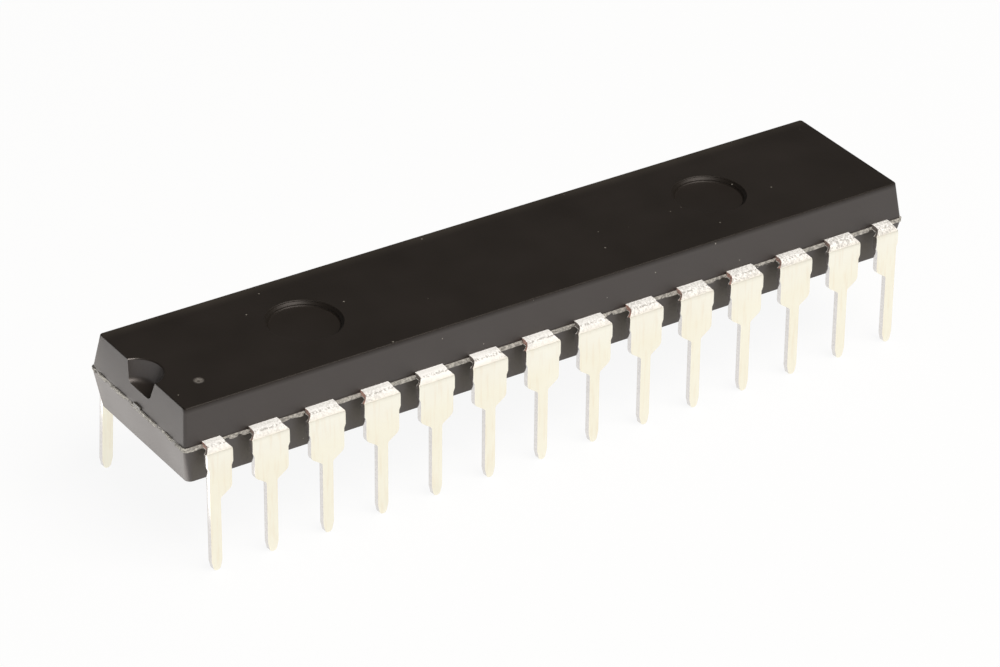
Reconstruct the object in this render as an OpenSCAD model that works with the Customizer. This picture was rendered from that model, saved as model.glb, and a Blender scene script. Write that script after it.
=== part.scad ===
/* Narrow dual in-line package with 28 leads, standing on its lead tips.
   Z is up from the plane of the lead tips, X runs along the package and the origin is the
   centre of the plan. The notched end is at -X. Lead 1 is at the notched end of the -Y row,
   leads 1 to 14 run along that row, and leads 15 to 28 run back along the +Y row. */

/* [Moulded body] */
// Distance from the centre line of the last lead to the end of the moulding, at the parting line
end_margin = 0.95; // [0.7:0.01:1.1]
// Width at the parting line, without the flash
body_width = 7.2; // [6.8:0.01:7.3]
// Height of the moulding above the lead frame
upper_depth = 1.46; // [1.2:0.01:2.2]
// Height of the moulding below the lead frame
lower_depth = 1.6; // [0.8:0.01:2.2]
// Mould draft of the long sides above the parting line, in degrees
upper_side_draft = 11.2; // [3:0.1:15]
// Mould draft of the long sides below the parting line, in degrees
lower_side_draft = 8.5; // [3:0.1:15]
// Mould draft of the ends above the parting line, in degrees
upper_end_draft = 6.5; // [3:0.1:15]
// Mould draft of the ends below the parting line, in degrees
lower_end_draft = 8.9; // [3:0.1:15]
// Radius along the upper and lower edges
edge_radius = 0.06; // [0.03:0.01:0.3]
// Reach of the trimmed mould flash past the parting line
flash_reach = 0.04; // [0.02:0.01:0.1]
// Thickness of the mould flash
flash_thickness = 0.12; // [0.08:0.01:0.2]

/* [Marks in the moulding] */
// Radius of the orientation notch at the top face
notch_radius = 1.05; // [0.6:0.01:1.4]
// Draft of the notch wall, in degrees
notch_draft = 11; // [3:0.5:15]
// Depth of the orientation notch
notch_depth = 0.88; // [0.3:0.01:1.1]
// Distance of the notch centre outside the top edge
notch_outset = 0.25; // [0:0.01:0.5]
// Diameter of the ejector marks at the face
ejector_diameter = 3.16; // [1:0.01:4]
// Depth of the ejector marks
ejector_depth = 0.22; // [0.05:0.01:0.4]
// Draft of the ejector marks' walls, in degrees
ejector_draft = 20; // [0:1:40]
// Distance between the two ejector marks
ejector_spacing = 19.8; // [12:0.1:26]
// Diameter of the dimple beside lead 1
dimple_diameter = 0.7; // [0.4:0.05:1.5]
// Depth of the dimple beside lead 1
dimple_depth = 0.12; // [0.05:0.01:0.3]
// Distance of the dimple from the top edge at the notched end
dimple_from_end = 1.54; // [1:0.01:3]
// Distance of the dimple from the centre line
dimple_from_centre = 1.72; // [1.2:0.01:2.4]

/* [Leads] */
// Distance between neighbouring leads
lead_pitch = 2.54; // [2.5:0.01:2.58]
// Thickness of the lead frame
frame_thickness = 0.25; // [0.2:0.01:0.3]
// Height of the underside of the moulding above the lead tips
standoff = 3.65; // [3.3:0.01:4.2]
// Straight part of a lead between the parting line and the bend
lead_reach = 0.133; // [0.05:0.001:0.5]
// Outward lean of the leads, in degrees
lead_splay = 2.4; // [0:0.1:6]
// Inner radius of the bend
bend_radius = 0.2; // [0.15:0.01:0.3]
// Width of a lead where it leaves the moulding
root_width = 1.28; // [1:0.01:1.5]
// Distance of the bare outer side of an end lead's root from the centre line of its leg
end_root_half = 0.17; // [0.1:0.01:0.2]
// Width of the shoulder
shoulder_width = 1.53; // [1.3:0.01:1.7]
// Height of the lower corners of the shoulder above the lead tips, before they are rounded
shoulder_height = 3.52; // [3.3:0.01:4]
// Width over the two sheared dam bar stubs
dam_width = 1.67; // [1.6:0.01:1.9]
// Height of the dam bar stubs on the straight part of the lead
dam_height = 0.41; // [0.3:0.01:0.5]
// Angle over which the dam bar stubs reach up into the bend at their full width
dam_wrap = 22; // [5:1:40]
// Angle over which they reach up into the bend as they narrow to the root
dam_taper = 60; // [40:1:80]
// Height of the step between the dam bar stub and the shoulder
dam_step = 0.17; // [0.05:0.01:0.3]
// Radius of the rounded lower corners of the shoulder
shoulder_radius = 0.3; // [0.1:0.01:0.4]
// Radius where the shoulder runs into the leg
neck_radius = 0.15; // [0.05:0.01:0.25]
// Width of the narrow leg
leg_width = 0.49; // [0.38:0.01:0.6]
// Height of the upper end of the leg above the lead tips, before the corner is rounded
leg_height = 3.17; // [2.6:0.01:3.2]
// Width of the flat at the lead tip
tip_width = 0.28; // [0.2:0.01:0.35]
// Height of the tapered tip
tip_height = 0.43; // [0.2:0.01:0.8]

/* [Lead frame inside] */
// Length of the root inside the moulding
root_length = 0.6; // [0.5:0.01:0.65]
// Diameter of the lock hole in each root
lock_hole_diameter = 0.36; // [0.3:0.01:0.4]
// Clear space between the roots and the fingers that run past them
fan_gap = 0.375; // [0.3:0.005:0.5]
// Share of a finger's lane that is metal
finger_share = 0.55; // [0.4:0.01:0.6]
// Gap between the paddle or its tie bars and the fingers
finger_gap = 0.2; // [0.15:0.01:0.25]
// Length of the die paddle
paddle_length = 6.6; // [6:0.1:7]
// Distance from the side of the moulding to the paddle
paddle_inset = 1.8; // [1.75:0.01:2]
// Depth of the paddle below the fingers
paddle_downset = 0.2; // [0.1:0.01:0.25]
// Width of the tie bars that held the paddle in the mould
tie_width = 0.5; // [0.3:0.01:0.5]

/* [Die and bond wires] */
// Distance from the ends of the paddle to the die
die_end_margin = 0.95; // [0.7:0.01:1.8]
// Distance from the sides of the paddle to the die
die_side_margin = 0.55; // [0.4:0.01:1]
// Distance from the edges of the die to the centres of its bond pads
pad_inset = 0.15; // [0.1:0.01:0.2]
// Thickness of the die
die_thickness = 0.33; // [0.2:0.01:0.4]
// Thickness of the adhesive under the die
attach_thickness = 0.03; // [0.02:0.01:0.05]
// Reach of the adhesive past the edge of the die
attach_fillet = 0.1; // [0.05:0.01:0.2]
// Thickness of a bond wire
wire_thickness = 0.025; // [0.02:0.005:0.04]
// Height of the wire loops above the die
wire_loop = 0.2; // [0.15:0.01:0.3]
// Diameter of the ball bonds
ball_diameter = 0.09; // [0.07:0.01:0.12]
// Height of the ball bonds
ball_height = 0.03; // [0.02:0.005:0.04]
// Length of the stitch that joins a wire to its finger
stitch_length = 0.1; // [0.05:0.01:0.15]

/* [Hidden] */

// Leads in a row, leads from the middle of a row to its end, and how many of those end at the
// side of the paddle, with the others at its end
row_leads = 14;
half_row = row_leads / 2;
side_fingers = 2;

// Heights of the main planes above the lead tips
frame_bottom = standoff + lower_depth;
frame_top = frame_bottom + frame_thickness;
body_top = frame_top + upper_depth;
paddle_bottom = frame_bottom - paddle_downset;
paddle_top = paddle_bottom + frame_thickness;
attach_top = paddle_top + attach_thickness;
die_top = attach_top + die_thickness;

// Half sizes of the moulding at the underside, the parting line and the top
side_y = body_width / 2;
end_x = (half_row - 0.5) * lead_pitch + end_margin;
top_y = side_y - (upper_depth + frame_thickness) * tan(upper_side_draft);
top_x = end_x - (upper_depth + frame_thickness) * tan(upper_end_draft);
bottom_y = side_y - lower_depth * tan(lower_side_draft);
bottom_x = end_x - lower_depth * tan(lower_end_draft);

// Centre of the bend, and length of the straight part below it
outer_radius = bend_radius + frame_thickness;
bend_z = frame_top - outer_radius;
bend_y = side_y + lead_reach;
leg_length = (bend_z + bend_radius * sin(lead_splay)) / cos(lead_splay);

// Half widths of a lead on each side of its centre line, the outer side of an end lead being bare
root_half = root_width / 2;
shoulder_half = shoulder_width / 2;
dam_half = dam_width / 2;
leg_half = leg_width / 2;
tip_half = tip_width / 2;
end_dam_half = leg_half + (dam_half - shoulder_half);
end_finger_shift = (root_half - end_root_half) / 2;

// Roots, and the lanes between the tie bar and the roots in which the fingers run
root_y = side_y - root_length;
lock_hole_y = side_y - root_length / 2;
finger_overlap = (root_length - lock_hole_diameter) / 4;
first_lane_y = (tie_width + finger_gap) / 2;
finger_pitch = (root_y - fan_gap - first_lane_y) / (half_row - side_fingers);
finger_width = finger_pitch * finger_share;

// Paddle, die, and the line of the finger tips round the paddle
paddle_width = body_width - 2 * paddle_inset;
tip_line_x = paddle_length / 2 + finger_gap;
tip_line_y = paddle_width / 2 + finger_gap;
step_start = paddle_length / 2 + 2 * paddle_downset;
step_end = step_start + 2 * paddle_downset;
die_length = paddle_length - 2 * die_end_margin;
die_width = paddle_width - 2 * die_side_margin;
pad_x = die_length / 2 - pad_inset;
pad_y = die_width / 2 - pad_inset;

// Depth of a cut past the face that it opens, and numbers of steps in the curves
past = frame_thickness;
arc_steps = 5;
wire_steps = 10;
$fn = 48;

function unit(v) = v / norm(v);
function left_of(v) = [-v[1], v[0]];

// Point i of a band's centre line, moved sideways so that the band keeps its width round a corner
function band_point(path, i, reach) =
    let (before = unit(path[max(i, 1)] - path[max(i, 1) - 1]),
         next = min(i, len(path) - 2),
         after = unit(path[next + 1] - path[next]),
         side = unit(left_of(before) + left_of(after)))
    path[i] + side * reach / (side * left_of(before));

// Outline of a band of even width along a path
function band(path, width) = concat(
    [for (i = [0 : len(path) - 1]) band_point(path, i, width / 2)],
    [for (i = [len(path) - 1 : -1 : 0]) band_point(path, i, -width / 2)]);

// Points of the arc that rounds the corner between two others, whichever way it turns
function round_corner(before, corner, after, radius) =
    let (in_way = unit(corner - before),
         out_way = unit(after - corner),
         half_turn = acos(in_way * out_way) / 2,
         inwards = left_of(in_way) * sign(cross(in_way, out_way)),
         start = corner - in_way * radius * tan(half_turn),
         centre = start + inwards * radius)
    [for (k = [0 : arc_steps])
        let (turn = 2 * half_turn * k / arc_steps)
        centre - inwards * radius * cos(turn) + in_way * radius * sin(turn)];

// Section of the drafted moulding, across or along it
function mould_section(bottom, middle, top) =
    let (a = [bottom, standoff],
         b = [middle, frame_bottom],
         c = [top, body_top],
         half = concat(round_corner([0, standoff], a, b, edge_radius), [b],
                       round_corner(b, c, [0, body_top], edge_radius)))
    concat(half, [for (k = [len(half) - 1 : -1 : 0]) [-half[k][0], half[k][1]]]);

// Puts a shape that is drawn in the +X +Y quarter into one of the four quarters
module quarter(right, front) {
    if (right && !front) children();
    if (right && front) mirror([0, 1, 0]) children();
    if (!right && !front) mirror([1, 0, 0]) children();
    if (!right && front) rotate([0, 0, 180]) children();
}

module all_quarters() {
    for (right = [true, false]) {
        for (front = [true, false]) {
            quarter(right, front) children();
        }
    }
}

// Drafted block with its edges rounded, and the trimmed flash round its parting line, which is
// level with the underside of the lead frame
module body_blank() {
    intersection() {
        rotate([90, 0, 90])
            linear_extrude(height = 2 * end_x, center = true)
                polygon(mould_section(bottom_y, side_y, top_y));
        rotate([90, 0, 0])
            linear_extrude(height = body_width, center = true)
                polygon(mould_section(bottom_x, end_x, top_x));
    }
    translate([0, 0, frame_bottom + flash_thickness / 2])
        cube([2 * (end_x + flash_reach), body_width + 2 * flash_reach, flash_thickness], center = true);
}

module orientation_notch() {
    floor_radius = notch_radius - notch_depth * tan(notch_draft);
    past_radius = notch_radius + past * tan(notch_draft);
    translate([-top_x - notch_outset, 0, body_top - notch_depth])
        cylinder(h = notch_depth + past, r1 = floor_radius, r2 = past_radius);
}

// Recess that an ejector pin leaves, cut down from the plane z = 0
module ejector_mark() {
    face_radius = ejector_diameter / 2;
    floor_radius = face_radius - ejector_depth * tan(ejector_draft);
    past_radius = face_radius + past * tan(ejector_draft);
    translate([0, 0, -ejector_depth])
        cylinder(h = ejector_depth + past, r1 = floor_radius, r2 = past_radius);
}

module ejector_marks() {
    for (x = [-ejector_spacing / 2, ejector_spacing / 2]) {
        translate([x, 0, body_top])
            ejector_mark();
        translate([x, 0, standoff])
            mirror([0, 0, 1])
                ejector_mark();
    }
}

// Cone with walls at 45 degrees
module dimple() {
    translate([-top_x + dimple_from_end, -dimple_from_centre, body_top - dimple_depth])
        cylinder(h = dimple_depth + past, d1 = dimple_diameter - 2 * dimple_depth,
            d2 = dimple_diameter + 2 * past);
}

// Centre line of the finger of lead j, counted from the middle of the row outwards. The first
// runs straight to the paddle, the second leaves its root sideways, and the others run in lanes.
function finger_path(j) =
    let (x = (j + 0.5) * lead_pitch - (j == half_row - 1 ? end_finger_shift : 0),
         start_y = root_y + finger_overlap,
         side_run_y = root_y + finger_width / 2,
         lane_y = first_lane_y + (half_row - j - 0.5) * finger_pitch)
    j == 0 ? [[x, start_y], [x, tip_line_y]] :
    j == 1 ? [[x - root_half + finger_overlap, side_run_y], [lead_pitch + finger_width, side_run_y],
              [lead_pitch, side_run_y - finger_width], [lead_pitch, tip_line_y]] :
             [[x, start_y], [x, lane_y + finger_width], [x - finger_width, lane_y], [tip_line_x, lane_y]];

// Flat part of lead j, from its finger tip to the start of the bend
module lead_flat(j) {
    x = (j + 0.5) * lead_pitch;
    outer_root = j == half_row - 1 ? end_root_half : root_half;
    translate([0, 0, frame_bottom])
        linear_extrude(height = frame_thickness)
            difference() {
                union() {
                    translate([x - root_half, root_y])
                        square([root_half + outer_root, bend_y - root_y]);
                    polygon(band(finger_path(j), finger_width));
                }
                translate([x - (root_half - outer_root) / 2, lock_hole_y])
                    circle(d = lock_hole_diameter);
            }
}

// Part of the bend between two angles above the horizontal
module bend_part(inner_half, outer_half, from_angle, to_angle) {
    rotate([90, 0, 90])
        rotate([0, 0, from_angle])
            rotate_extrude(angle = to_angle - from_angle)
                translate([bend_radius, -inner_half])
                    square([frame_thickness, inner_half + outer_half]);
}

// Dam bar stubs in the bend, cut so that they narrow towards the root
module dam_bend(inner_root, outer_root, inner_dam, outer_dam) {
    full_z = outer_radius * sin(lead_splay + dam_wrap);
    narrow_z = outer_radius * sin(lead_splay + dam_taper);
    intersection() {
        bend_part(inner_dam, outer_dam, lead_splay, lead_splay + dam_taper);
        rotate([90, 0, 0])
            linear_extrude(height = 4 * outer_radius, center = true)
                polygon([[-inner_dam, 0], [outer_dam, 0], [outer_dam, full_z], [outer_root, narrow_z],
                    [-inner_root, narrow_z], [-inner_dam, full_z]]);
    }
}

// Outline of one side of the leg, from the bend down to the tip
function leg_side(dam, shoulder) =
    let (dam_end = -dam_height,
         shoulder_start = dam_end - dam_step,
         shoulder_end = (shoulder_height - bend_z) / cos(lead_splay),
         leg_start = (leg_height - bend_z) / cos(lead_splay),
         tip_start = -leg_length + tip_height,
         shoulder_top = [shoulder, shoulder_start],
         shoulder_corner = [shoulder, shoulder_end],
         neck = [leg_half, leg_start],
         tip_corner = [leg_half, tip_start],
         rounded = shoulder > leg_half)
    concat(
        [[dam, 0], [dam, dam_end], shoulder_top],
        rounded ? round_corner(shoulder_top, shoulder_corner, neck, shoulder_radius) : [],
        rounded ? round_corner(shoulder_corner, neck, tip_corner, neck_radius) : [],
        [tip_corner, [tip_half, -leg_length]]);

// Bend, dam bar stubs, shoulder and leg of lead j
module lead_outer(j) {
    is_end = j == half_row - 1;
    outer_root = is_end ? end_root_half : root_half;
    outer_shoulder = is_end ? leg_half : shoulder_half;
    outer_dam = is_end ? end_dam_half : dam_half;
    inner_side = leg_side(dam_half, shoulder_half);
    outer_side = leg_side(outer_dam, outer_shoulder);
    translate([(j + 0.5) * lead_pitch, bend_y, bend_z]) {
        bend_part(root_half, outer_root, lead_splay, 90);
        dam_bend(root_half, outer_root, dam_half, outer_dam);
        rotate([90 + lead_splay, 0, 0])
            translate([0, 0, -outer_radius])
                linear_extrude(height = frame_thickness)
                    polygon(concat(
                        [for (p = inner_side) [-p[0], p[1]]],
                        [for (k = [len(outer_side) - 1 : -1 : 0]) outer_side[k]]));
    }
}

// Paddle with its downset tie bars, whose cut ends lie flush with the flash
module paddle_solid() {
    bar_end = end_x + flash_reach;
    frame_middle = frame_bottom + frame_thickness / 2;
    paddle_middle = paddle_bottom + frame_thickness / 2;
    translate([0, 0, paddle_middle])
        cube([paddle_length, paddle_width, frame_thickness], center = true);
    for (way = [-1, 1]) {
        bar = [[way * die_length / 2, paddle_middle], [way * step_start, paddle_middle],
            [way * step_end, frame_middle], [way * bar_end, frame_middle]];
        rotate([90, 0, 0])
            linear_extrude(height = tie_width, center = true)
                polygon(band(bar, frame_thickness));
    }
}

module attach_solid() {
    translate([0, 0, paddle_top + attach_thickness / 2])
        cube([die_length + 2 * attach_fillet, die_width + 2 * attach_fillet, attach_thickness],
            center = true);
}

module die_solid() {
    translate([0, 0, attach_top + die_thickness / 2])
        cube([die_length, die_width, die_thickness], center = true);
}

// Place of the bond pad of lead j near the edge of the die
function pad_place(j) = j < side_fingers ?
    [pad_x * (j + 0.5) / side_fingers, pad_y] :
    [pad_x, pad_y * (half_row - 0.5 - j) / (half_row - side_fingers)];

// Wire of lead j: a ball on the pad, a loop, and a stitch on the finger
module wire_solid(j) {
    path = finger_path(j);
    tip = path[len(path) - 1];
    inward = unit(path[len(path) - 2] - tip);
    stitch_end = tip + inward * (finger_width + stitch_length);
    pad = pad_place(j);
    run = norm(stitch_end - pad);
    heading = atan2(stitch_end[1] - pad[1], stitch_end[0] - pad[0]);
    rise_z = die_top + ball_height + ball_diameter;
    end_z = frame_top + wire_thickness / 2;
    loop_run = run - stitch_length;
    loop = [for (k = [0 : wire_steps])
        let (u = k / wire_steps)
        [loop_run * u, rise_z + (end_z - rise_z) * u * u + wire_loop * sin(180 * sqrt(u))]];
    wire_line = concat([[0, die_top + ball_height / 2]], loop, [[run, end_z]]);
    translate([pad[0], pad[1], die_top])
        cylinder(h = ball_height, d = ball_diameter, $fn = 24);
    translate([pad[0], pad[1], 0])
        rotate([0, 0, heading])
            rotate([90, 0, 0])
                linear_extrude(height = wire_thickness, center = true)
                    polygon(band(wire_line, wire_thickness));
}

module wires_solid() {
    all_quarters() {
        for (j = [0 : half_row - 1]) {
            wire_solid(j);
        }
    }
}

// Moulding, solid round the lead frame, the die and the wires
module body() {
    color("#2b2a28")
        difference() {
            body_blank();
            orientation_notch();
            ejector_marks();
            dimple();
            all_quarters() {
                for (j = [0 : half_row - 1]) {
                    lead_flat(j);
                }
            }
            paddle_solid();
            attach_solid();
            die_solid();
            wires_solid();
        }
}

// Lead by its number, from 1 at the notched end of the front row
module lead(number) {
    front = number <= row_leads;
    place = front ? number - 1 : 2 * row_leads - number;
    right = place >= half_row;
    j = right ? place - half_row : half_row - 1 - place;
    color("#e9e5d8")
        quarter(right, front) {
            lead_flat(j);
            lead_outer(j);
        }
}

module die_paddle() {
    color("#c98f5a")
        paddle_solid();
}

module die_attach() {
    color("#b9b4a6")
        attach_solid();
}

module die() {
    color("#5d6470")
        die_solid();
}

module bond_wires() {
    color("#d9b45a")
        wires_solid();
}

body();
lead(1);  // lead_01
lead(2);  // lead_02
lead(3);  // lead_03
lead(4);  // lead_04
lead(5);  // lead_05
lead(6);  // lead_06
lead(7);  // lead_07
lead(8);  // lead_08
lead(9);  // lead_09
lead(10);  // lead_10
lead(11);  // lead_11
lead(12);  // lead_12
lead(13);  // lead_13
lead(14);  // lead_14
lead(15);  // lead_15
lead(16);  // lead_16
lead(17);  // lead_17
lead(18);  // lead_18
lead(19);  // lead_19
lead(20);  // lead_20
lead(21);  // lead_21
lead(22);  // lead_22
lead(23);  // lead_23
lead(24);  // lead_24
lead(25);  // lead_25
lead(26);  // lead_26
lead(27);  // lead_27
lead(28);  // lead_28
die_paddle();
die_attach();
die();
bond_wires();
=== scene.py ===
# %% [markdown]
# # A dip integrated circuit in Blender
#
# The object is a 28 lead dual in-line package: a black epoxy moulding with an orientation notch, on two
# rows of stamped, bent and tin plated leads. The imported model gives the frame, so each piece is made in
# its own place, in metres, with X along the package and Z up from the plane of the lead tips.
#
# The first cell loads that model, and the second holds the helpers that all steps share.

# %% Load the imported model
import math
import bmesh
import bpy
from mathutils import Matrix, Vector


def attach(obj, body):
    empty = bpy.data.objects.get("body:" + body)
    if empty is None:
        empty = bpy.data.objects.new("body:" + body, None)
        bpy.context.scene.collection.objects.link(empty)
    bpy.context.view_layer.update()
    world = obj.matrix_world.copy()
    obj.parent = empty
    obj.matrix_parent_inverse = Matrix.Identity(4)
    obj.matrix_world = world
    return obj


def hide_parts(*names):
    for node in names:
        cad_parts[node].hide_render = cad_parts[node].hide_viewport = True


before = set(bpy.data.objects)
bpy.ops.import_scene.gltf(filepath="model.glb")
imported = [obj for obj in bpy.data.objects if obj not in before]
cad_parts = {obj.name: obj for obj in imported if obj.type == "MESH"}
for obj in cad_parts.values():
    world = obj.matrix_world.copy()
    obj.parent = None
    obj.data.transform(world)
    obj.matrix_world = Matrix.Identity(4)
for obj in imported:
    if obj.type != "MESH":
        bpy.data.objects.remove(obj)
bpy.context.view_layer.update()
MM = 0.001

# %% Shared helpers
def linear(code):
    """Turns an sRGB hex colour into the linear one that a socket takes."""
    parts = [int(code[i:i + 2], 16) / 255 for i in (1, 3, 5)]
    return [*(c / 12.92 if c <= 0.04045 else ((c + 0.055) / 1.055) ** 2.4 for c in parts), 1.0]


def add(tree, kind, settings=None, inputs=None):
    """Adds a node. An input takes a value, a socket, or a node, whose first output is then linked."""
    made = tree.nodes.new(kind)
    for key, value in (settings or {}).items():
        setattr(made, key, value)
    for key, value in (inputs or {}).items():
        if isinstance(value, bpy.types.Node):
            value = value.outputs[0]
        if isinstance(value, bpy.types.NodeSocket):
            tree.links.new(value, made.inputs[key])
        else:
            made.inputs[key].default_value = value
    return made


def new_material(title):
    """Starts a material with an empty node tree."""
    made = bpy.data.materials.new(title)
    made.use_nodes = True
    made.node_tree.nodes.clear()
    return made, made.node_tree


def mesh_object(name, mesh):
    """Links a mesh into the scene as an object at the origin."""
    made = bpy.data.objects.new(name, mesh)
    bpy.context.scene.collection.objects.link(made)
    return made


def to_mesh(name, shape):
    """Turns a bmesh in millimetres into a mesh in metres."""
    bmesh.ops.scale(shape, vec=(MM, MM, MM), verts=shape.verts)
    mesh = bpy.data.meshes.new(name)
    shape.to_mesh(mesh)
    shape.free()
    return mesh


def applied(source):
    """Gives an object's mesh with its modifiers applied, and takes the object away."""
    graph = bpy.context.evaluated_depsgraph_get()
    mesh = bpy.data.meshes.new_from_object(source.evaluated_get(graph), depsgraph=graph)
    bpy.data.objects.remove(source)
    return mesh


def new_tree(title, given, sizes, result):
    """Starts a Geometry Nodes tree: the geometry it takes, its named sizes and the geometry it gives."""
    made = bpy.data.node_groups.new(title, "GeometryNodeTree")
    made.interface.new_socket(given, in_out="INPUT", socket_type="NodeSocketGeometry")
    for size in sizes:
        made.interface.new_socket(size, in_out="INPUT", socket_type="NodeSocketFloat")
    made.interface.new_socket(result, in_out="OUTPUT", socket_type="NodeSocketGeometry")
    return made


def run_tree(mesh, tree, sizes):
    """Runs a Geometry Nodes tree on a mesh, with its named inputs set in metres and radians."""
    source = mesh_object("source", mesh)
    modifier = source.modifiers.new(tree.name, "NODES")
    modifier.node_group = tree
    for item in tree.interface.items_tree:
        if item.name in sizes:
            modifier[item.identifier] = sizes[item.name]
    return applied(source)


def smooth_by_angle(mesh, degrees):
    """Shades a mesh smooth, with its edges sharp where the faces turn by more than an angle."""
    mesh.polygons.foreach_set("use_smooth", [True] * len(mesh.polygons))
    mesh.set_sharp_from_angle(angle=math.radians(degrees))


print("Helpers ready")

# %% [markdown]
# ## Camera
#
# The photograph is a product shot through a long lens: the far lead tips are hardly smaller than the near
# ones. The camera was solved from the lead tips and the corners of the moulding, so its place, turn and
# shift below put each of them on its own pixel. Its turn is set as a matrix, from the direction back to
# the camera and the roll.

# %% Camera at the photograph's viewpoint
azimuth, elevation, roll = (math.radians(v) for v in (-35.308, 30.997, 2.180))
camera_distance, aim_x, aim_y = 174.085, -0.2771, 2.8009
focal_pixels, frame_pixels, sensor = 4219.19, 1000, 36.0
back = Vector((math.sin(azimuth) * math.cos(elevation), -math.cos(azimuth) * math.cos(elevation),
               math.sin(elevation)))
right = Vector((math.cos(azimuth), math.sin(azimuth), 0))
up = back.cross(right)
rolled_right = right * math.cos(roll) + up * math.sin(roll)
rolled_up = up * math.cos(roll) - right * math.sin(roll)
camera_data = bpy.data.cameras.new("camera")
camera_data.sensor_fit = "HORIZONTAL"
camera_data.sensor_width = sensor
camera_data.lens = focal_pixels * sensor / frame_pixels
camera_data.clip_start = 0.01
camera = bpy.data.objects.new("camera", camera_data)
bpy.context.scene.collection.objects.link(camera)
place = (back * camera_distance + rolled_right * aim_x + rolled_up * aim_y) * MM
camera.matrix_world = Matrix((
    (rolled_right.x, rolled_up.x, back.x, place.x),
    (rolled_right.y, rolled_up.y, back.y, place.y),
    (rolled_right.z, rolled_up.z, back.z, place.z),
    (0, 0, 0, 1)))
bpy.context.scene.camera = camera
print("Camera at", [round(v / MM, 1) for v in place], "mm, lens", round(camera_data.lens, 1), "mm")

# %% [markdown]
# ## Light, background and floor
#
# The object stands on white card under soft light from above and in front. A large area lamp gives that
# light. The world is pale near the horizon in front and dark overhead and behind, so the flat top, which
# mirrors the sky behind the chip, stays black. The notched end is the palest side of the moulding in the
# photograph, because it mirrors bright card at the back left. A low panel that lies there and faces up
# gives the same: the end sees it at a glancing angle, and the top, which is above it, doesn't see it.
#
# The camera sees pure white behind the object. That comes from Is Camera Ray with a strength of 1, in the
# world and in the floor, so no lamp has to burn the paper out. Glossy and transmission rays see it too.
# The floor keeps a small share of its own shading, so the soft shadow stays.

# %% World
world = bpy.data.worlds.new("studio")
bpy.context.scene.world = world
world.use_nodes = True
tree = world.node_tree
tree.nodes.clear()
rays = add(tree, "ShaderNodeLightPath")
direction = add(tree, "ShaderNodeTexCoord").outputs["Generated"]
height = add(tree, "ShaderNodeSeparateXYZ", inputs={0: direction}).outputs["Z"]
sky = add(tree, "ShaderNodeMapRange", {"interpolation_type": "SMOOTHSTEP"},
          {"Value": height, "From Min": 0.02, "From Max": 0.35, "To Min": 1.0, "To Max": 0.09})
ahead = add(tree, "ShaderNodeVectorMath", {"operation": "DOT_PRODUCT"}, {0: direction, 1: (-0.55, -0.83, 0.0)})
room = add(tree, "ShaderNodeMapRange", inputs={
    "Value": ahead.outputs["Value"], "From Min": -0.6, "From Max": 0.5, "To Min": 0.25, "To Max": 1.0})
sky = add(tree, "ShaderNodeMath", {"operation": "MULTIPLY"}, {0: sky, 1: room})
studio_air = add(tree, "ShaderNodeBackground", inputs={"Color": (1.0, 1.0, 1.0, 1.0), "Strength": sky})
white_back = add(tree, "ShaderNodeBackground", inputs={"Color": (1.0, 1.0, 1.0, 1.0), "Strength": 1.0})
seen = add(tree, "ShaderNodeMath", {"operation": "MAXIMUM"},
           {0: rays.outputs["Is Camera Ray"], 1: rays.outputs["Is Transmission Ray"]})
mixed = add(tree, "ShaderNodeMixShader", inputs={0: seen, 1: studio_air, 2: white_back})
add(tree, "ShaderNodeOutputWorld", inputs={"Surface": mixed})
print("World: pale at the horizon in front, dark overhead and behind, white to the camera")


# %% Lamps
def softbox(name, place_mm, target_mm, width_mm, height_mm, watts, colour):
    """A rectangular area lamp that faces a target and isn't seen."""
    data = bpy.data.lights.new(name, "AREA")
    data.shape = "RECTANGLE"
    data.size, data.size_y = width_mm * MM, height_mm * MM
    data.energy = watts
    data.color = linear(colour)[:3]
    lamp = bpy.data.objects.new(name, data)
    bpy.context.scene.collection.objects.link(lamp)
    lamp.location = Vector(place_mm) * MM
    aim = Vector(target_mm) - Vector(place_mm)
    lamp.rotation_euler = aim.to_track_quat("-Z", "Y").to_euler()
    lamp.visible_camera = False
    return lamp


softbox("top_softbox", (60, -170, 300), (0, 0, 4), 300, 240, 1.37, "#fffaf2")
softbox("card_panel", (-21.2, 5, 0.6), (-21.2, 5, 60), 6, 20, 0.00066, "#fffdf8")
print("A softbox above and a low panel")

# %% Paper floor
paper, tree = new_material("White card floor, uncoated and evenly lit")
rays = add(tree, "ShaderNodeLightPath")
card = add(tree, "ShaderNodeBsdfDiffuse", inputs={"Color": linear("#fafaf9")})
white = add(tree, "ShaderNodeEmission", inputs={"Color": (1.0, 1.0, 1.0, 1.0), "Strength": 1.0})
seen = add(tree, "ShaderNodeMath", {"operation": "MAXIMUM"},
           {0: rays.outputs["Is Camera Ray"], 1: rays.outputs["Is Glossy Ray"]})
seen = add(tree, "ShaderNodeMath", {"operation": "MAXIMUM"}, {0: seen, 1: rays.outputs["Is Transmission Ray"]})
white_share = 0.92
share = add(tree, "ShaderNodeMath", {"operation": "MULTIPLY"}, {0: seen, 1: white_share})
mixed = add(tree, "ShaderNodeMixShader", inputs={0: share, 1: card, 2: white})
add(tree, "ShaderNodeOutputMaterial", inputs={"Surface": mixed})
shape = bmesh.new()
bmesh.ops.create_grid(shape, x_segments=1, y_segments=1, size=600)
floor = mesh_object("floor", to_mesh("floor", shape))
floor.data.materials.append(paper)
print("Floor: 1.2 m of white card under the lead tips")

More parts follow.
